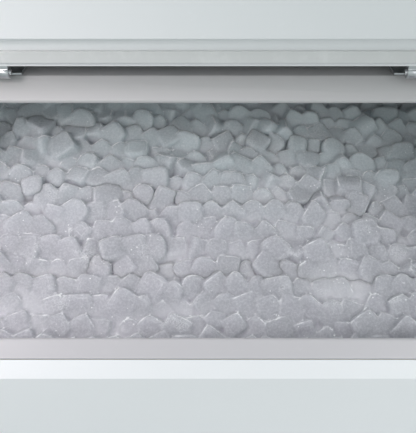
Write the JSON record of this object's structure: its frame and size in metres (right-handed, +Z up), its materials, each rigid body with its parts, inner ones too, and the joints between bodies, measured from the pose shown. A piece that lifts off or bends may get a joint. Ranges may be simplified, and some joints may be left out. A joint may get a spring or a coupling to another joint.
{
  "type": "ice maker",
  "caption": "Commercial ice maker: an ice-making head on an insulated, slope-front storage bin with a lift-up door standing open over a bed of cube ice.",
  "frame": {"origin": "on the floor, under the middle of the cabinet", "axes": "+Z up, +X to the machine's right as its user faces it, -Y out of the front"},
  "size_m": [0.765, 0.87, 1.584],
  "materials": {
    "cabinet_white": "white powder coat",
    "liner_white": "smooth moulded plastic",
    "insulation": "rigid foam",
    "header_satin": "satin, brushed along its length",
    "sill_white": "smooth lavender-white plastic",
    "zinc_sheet": "zinc-plated sheet",
    "leg_grey": "moulded dark grey",
    "zinc_steel": "zinc-plated",
    "ice": "frosted clear ice",
    "hinge_steel": "satin steel",
    "pin_steel": "ground steel",
    "seal_white": "soft white seal",
    "handle_grey": "moulded dark grey",
    "black_rubber": "black rubber",
    "panel_steel": "brushed stainless steel",
    "grille_dark": "moulded dark grey",
    "screw_steel": "plated steel",
    "filter_grey": "moulded grey mesh",
    "coil_aluminium": "thin bright fins",
    "shroud_dark": "dark paint",
    "motor_grey": "grey paint",
    "fan_aluminium": "stamped sheet",
    "compressor_black": "black paint",
    "grid_plated": "bright plating",
    "copper": "bare copper tube",
    "frame_grey": "moulded light grey",
    "water_white": "white food-grade plastic",
    "pump_grey": "moulded grey",
    "valve_white": "moulded white",
    "drain_grey": "moulded grey",
    "board_green": "coated circuit board",
    "switch_black": "moulded black"
  },
  "bodies": {
    "machine": {"bin_shell": "cabinet_white", "bin_base": "zinc_sheet", "bin_foam": "insulation", "bin_liner": "liner_white", "bin_top_rim": "liner_white", "sill_frame": "sill_white", "door_header": "header_satin", "drain_fitting": "drain_grey", "legs": "leg_grey", "ice_bed": "ice", "hinge_brackets": "hinge_steel", "hinge_pins": "pin_steel", "door_bumpers": "black_rubber", "head_gasket": "black_rubber", "head_base": "zinc_sheet", "side_panel_left": "panel_steel", "side_panel_right": "panel_steel", "back_panel": "zinc_sheet", "top_panel": "panel_steel", "front_panel": "panel_steel", "front_grille": "grille_dark", "panel_screws": "screw_steel", "partition": "zinc_sheet", "condenser": "coil_aluminium", "fan_shroud": "shroud_dark", "fan_motor": "motor_grey", "compressor": "compressor_black", "compressor_grommets": "black_rubber", "evaporator": "grid_plated", "evaporator_coil": "copper", "evaporator_frame": "frame_grey", "water_trough": "water_white", "water_pump": "pump_grey", "distributor_tube": "water_white", "float_stem": "water_white", "water_valve": "valve_white", "dump_valve": "valve_white", "control_box": "zinc_sheet", "control_board": "board_green", "switch_body": "switch_black", "refrigerant_lines": "copper", "filter_drier": "copper", "cable_gland": "switch_black"},
    "door": {"door_outer": "cabinet_white", "door_liner": "liner_white", "door_foam": "insulation", "door_gasket": "seal_white", "door_handle": "handle_grey", "door_hinge_arms": "hinge_steel"},
    "foot_fl": {"foot_front_left": "zinc_steel"},
    "foot_fr": {"foot_front_right": "zinc_steel"},
    "foot_rl": {"foot_rear_left": "zinc_steel"},
    "foot_rr": {"foot_rear_right": "zinc_steel"},
    "curtain": {"water_curtain": "water_white"},
    "probe": {"thickness_probe": "frame_grey"},
    "fan": {"fan_blade": "fan_aluminium"},
    "impeller": {"pump_impeller": "water_white"},
    "float": {"float_ball": "water_white"},
    "rocker": {"rocker_switch": "switch_black"},
    "filter": {"air_filter": "filter_grey"}
  },
  "joints": [
    {"name": "door_hinge", "type": "hinge", "parent": "machine", "child": "door", "pos_m": [0, -0.20019, 1.03061], "axis": [1, 0, 0], "range_deg": [0, 138]},
    {"name": "curtain_pivot", "type": "hinge", "parent": "machine", "child": "curtain", "pos_m": [0.175, 0.1475, 1.536], "axis": [-1, 0, 0], "range_deg": [0, 40]},
    {"name": "probe_pivot", "type": "hinge", "parent": "machine", "child": "probe", "pos_m": [0.014, 0.164, 1.494], "axis": [-1, 0, 0], "range_deg": [0, 4]},
    {"name": "fan_spin", "type": "hinge", "parent": "machine", "child": "fan", "pos_m": [-0.212, -0.051, 1.42], "axis": [0, 1, 0], "continuous": true},
    {"name": "impeller_spin", "type": "hinge", "parent": "machine", "child": "impeller", "pos_m": [0.29, 0.252, 1.093], "axis": [0, 0, 1], "continuous": true},
    {"name": "float_travel", "type": "slide", "parent": "machine", "child": "float", "axis": [0, 0, 1], "range_m": [0, 0.024]},
    {"name": "rocker_pivot", "type": "hinge", "parent": "machine", "child": "rocker", "pos_m": [0.25, -0.145, 1.494], "axis": [1, 0, 0], "range_deg": [-10, 10]},
    {"name": "filter_slide", "type": "slide", "parent": "machine", "child": "filter", "axis": [-1, 0, 0], "range_m": [0, 0.34]},
    {"name": "foot_fl_screw", "type": "slide", "parent": "machine", "child": "foot_fl", "axis": [0, 0, -1], "range_m": [0, 0.02]},
    {"name": "foot_fr_screw", "type": "slide", "parent": "machine", "child": "foot_fr", "axis": [0, 0, -1], "range_m": [0, 0.02]},
    {"name": "foot_rl_screw", "type": "slide", "parent": "machine", "child": "foot_rl", "axis": [0, 0, -1], "range_m": [0, 0.02]},
    {"name": "foot_rr_screw", "type": "slide", "parent": "machine", "child": "foot_rr", "axis": [0, 0, -1], "range_m": [0, 0.02]}
  ]
}
